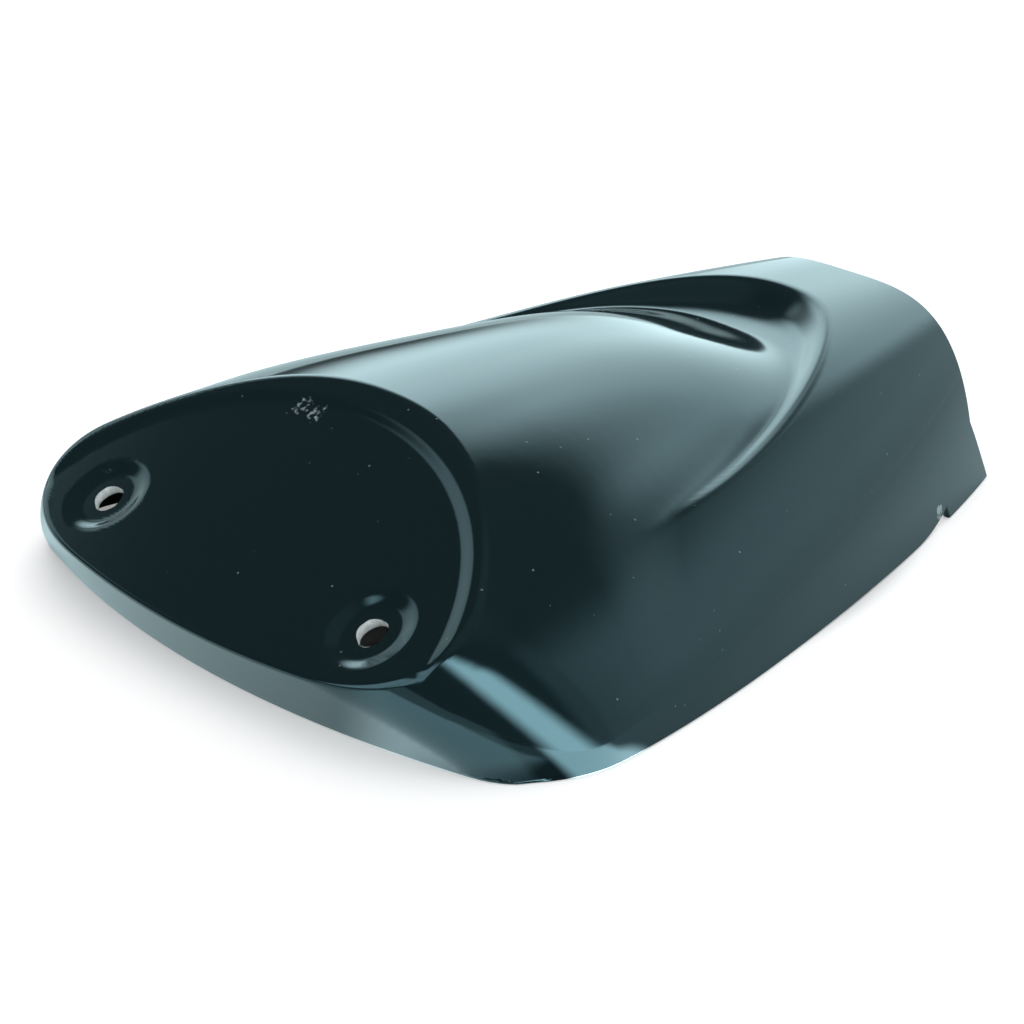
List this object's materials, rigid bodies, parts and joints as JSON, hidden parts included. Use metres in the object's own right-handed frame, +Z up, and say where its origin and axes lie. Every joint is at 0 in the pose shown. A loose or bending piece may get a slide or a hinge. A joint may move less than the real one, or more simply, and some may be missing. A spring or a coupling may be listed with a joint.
{
  "type": "seat cowl",
  "caption": "Hollow moulded motorbike seat cowl with a sloping pad face, screw holes in dished seats, a rounded hump and an open rear arch that covers the pillion seat.",
  "frame": {"origin": "centre of the bounding box on the plane that the lower rim rests on", "axes": "+Z up, +Y to the open rear arch, -Y to the pad face and lip, X across the plane of symmetry"},
  "size_m": [0.2704, 0.3248, 0.0753],
  "materials": {
    "gloss_black": "gloss"
  },
  "bodies": {
    "root": {"seat_cowl": "gloss_black"}
  },
  "joints": []
}
